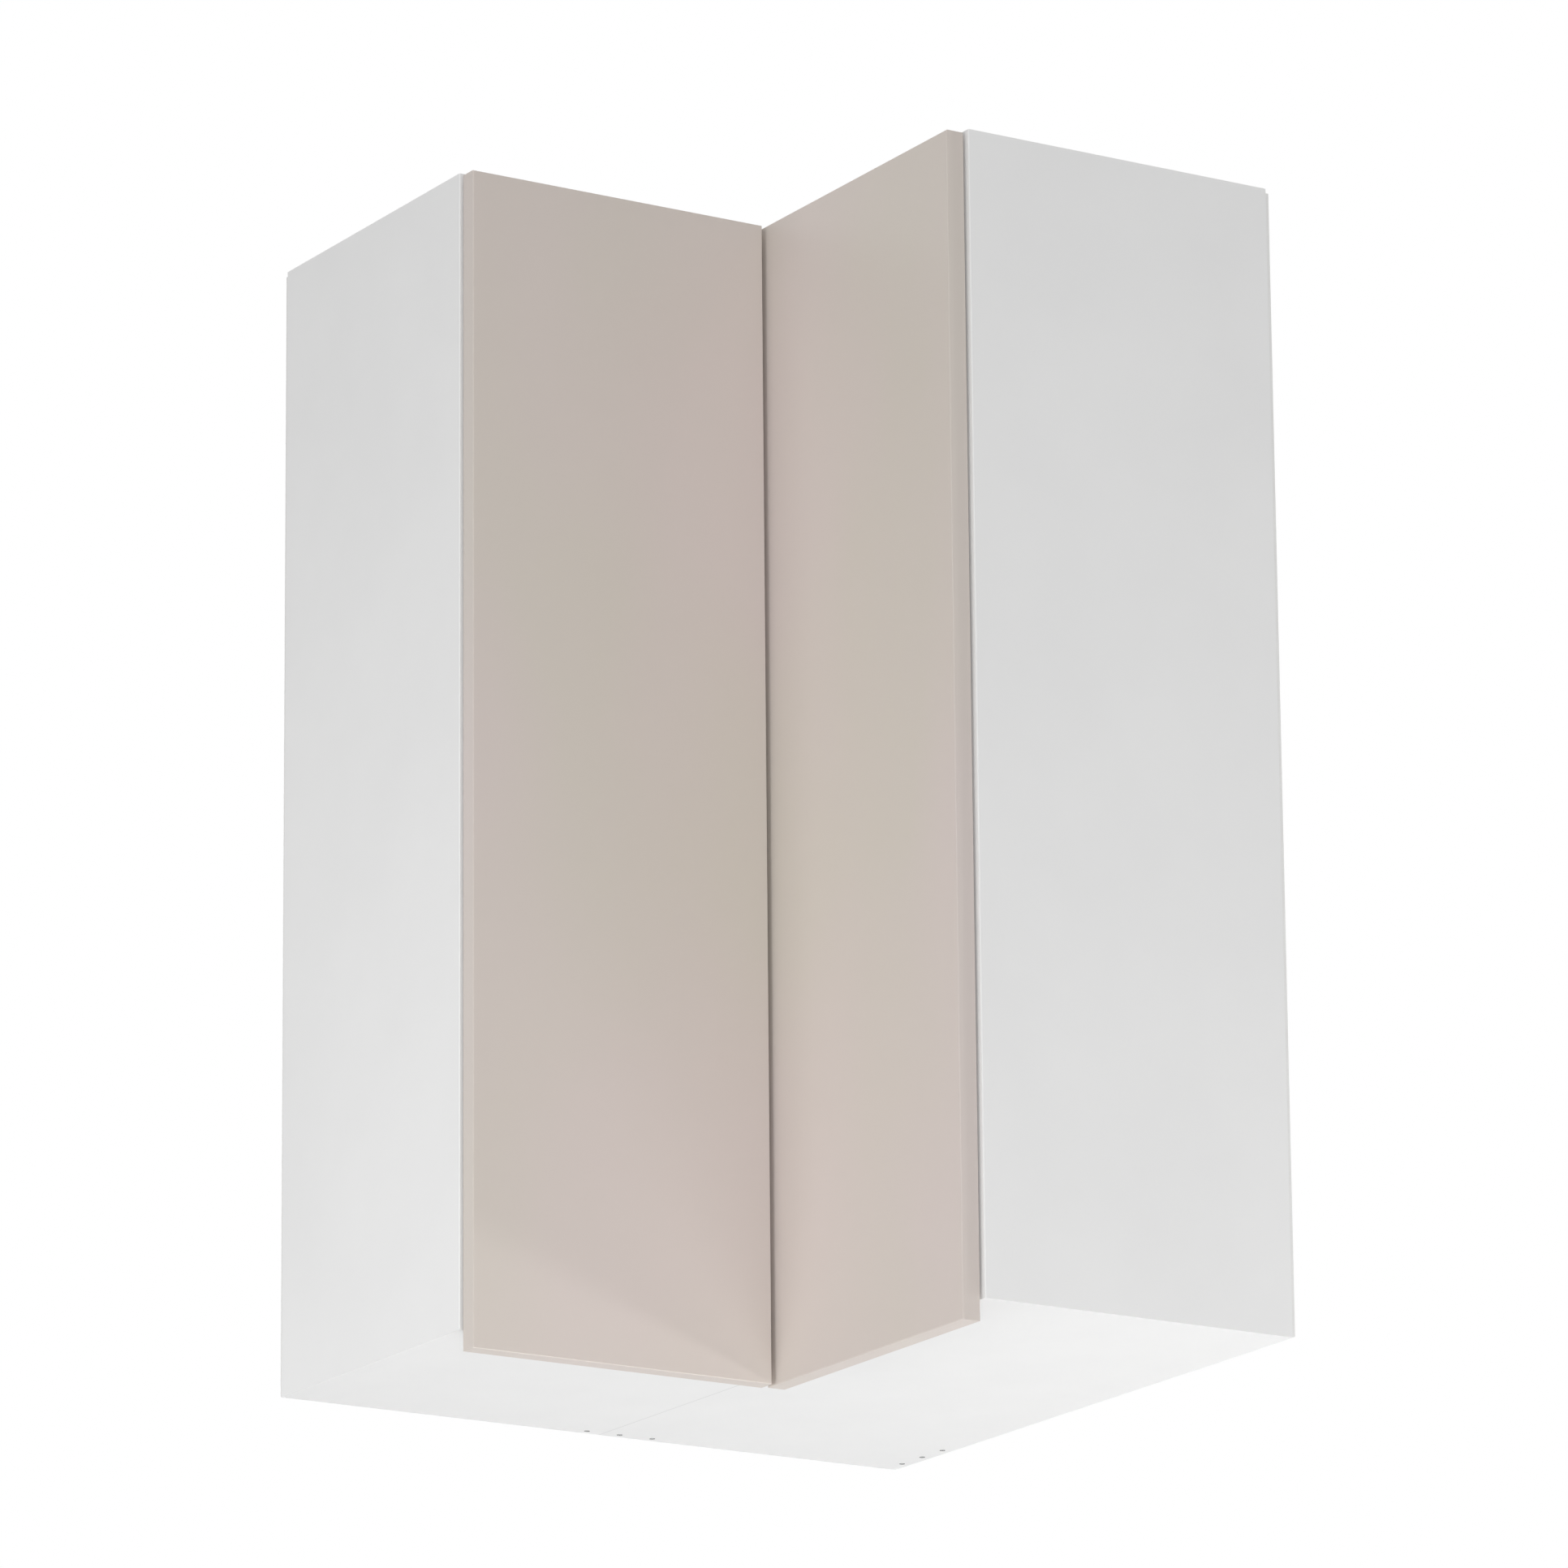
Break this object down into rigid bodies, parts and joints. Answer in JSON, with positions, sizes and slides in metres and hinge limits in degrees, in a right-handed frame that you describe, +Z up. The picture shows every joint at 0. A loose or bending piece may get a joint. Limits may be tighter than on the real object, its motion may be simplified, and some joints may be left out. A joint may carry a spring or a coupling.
{
  "type": "corner wall cabinet",
  "caption": "L-shaped corner wall cabinet with shelves, closed by two plain doors that fold together as one pair on concealed hinges.",
  "frame": {"origin": "room corner at the cabinet's underside, where both wall planes meet", "axes": "+Z up, +Y towards the back wall, +X towards the side wall on the right; the wings run along -X and -Y"},
  "size_m": [0.603, 0.603, 0.998],
  "materials": {
    "carcass_board": "satin white melamine",
    "back_sheet": "painted hardboard",
    "door_paint": "satin paint on board",
    "zinc_steel": "zinc plated",
    "nickel_steel": "nickel plated",
    "hanger_plastic": "matt",
    "bumper_plastic": "soft clear",
    "dowel_wood": "plain beech"
  },
  "bodies": {
    "carcass": {"left_side_panel": "carcass_board", "right_side_panel": "carcass_board", "bottom_board_left": "carcass_board", "bottom_board_right": "carcass_board", "top_board_left": "carcass_board", "top_board_right": "carcass_board", "corner_upright": "carcass_board", "back_upright": "carcass_board", "back_panel_left": "back_sheet", "back_panel_right": "back_sheet", "shelf_1": "carcass_board", "shelf_2": "carcass_board", "shelf_pins": "nickel_steel", "upright_screws": "zinc_steel", "cam_drums": "zinc_steel", "cam_bolts": "zinc_steel", "dowels": "dowel_wood", "hanger_housings": "hanger_plastic", "hanger_hooks": "zinc_steel", "hanger_adjusters": "zinc_steel", "hanger_screws": "zinc_steel", "hanger_covers": "hanger_plastic", "hinge_plates": "nickel_steel", "hinge_plate_screws": "nickel_steel", "hinge_arms": "nickel_steel", "hinge_arm_screws": "nickel_steel", "hinge_arm_pins": "nickel_steel"},
    "hinge_links": {"hinge_links": "nickel_steel", "hinge_middle_pins": "nickel_steel"},
    "hinge_cranks": {"hinge_cranks": "nickel_steel"},
    "left_door": {"left_door": "door_paint", "hinge_cups": "nickel_steel", "hinge_cup_pins": "nickel_steel", "hinge_cup_screws": "nickel_steel", "fold_hinge_plates": "nickel_steel", "fold_hinge_pins": "nickel_steel", "fold_plate_screws": "nickel_steel", "left_door_bumpers": "bumper_plastic"},
    "right_door": {"right_door": "door_paint", "fold_hinge_cups": "nickel_steel", "fold_cup_screws": "nickel_steel", "right_door_bumpers": "bumper_plastic"}
  },
  "joints": [
    {"name": "door_swing", "type": "hinge", "parent": "carcass", "child": "hinge_links", "pos_m": [-0.5827, -0.2943, 0.49], "axis": [0, 0, -1], "range_deg": [0, 108]},
    {"name": "crank_turn", "type": "hinge", "parent": "hinge_links", "child": "hinge_cranks", "pos_m": [-0.5622, -0.2862, 0.49], "axis": [0, 0, 1], "range_deg": [0, 78.6]},
    {"name": "cup_turn", "type": "hinge", "parent": "hinge_cranks", "child": "left_door", "pos_m": [-0.5882, -0.3079, 0.49], "axis": [0, 0, -1], "range_deg": [0, 125.6]},
    {"name": "door_fold", "type": "hinge", "parent": "left_door", "child": "right_door", "pos_m": [-0.291, -0.291, 0.49], "axis": [0, 0, 1], "range_deg": [0, 60]}
  ],
  "couplings": [
    {"joint": "door_swing", "follows": "door_fold", "ratio": 1.8},
    {"joint": "crank_turn", "follows": "door_fold", "ratio": 1.31},
    {"joint": "cup_turn", "follows": "door_fold", "ratio": 2.0933}
  ]
}
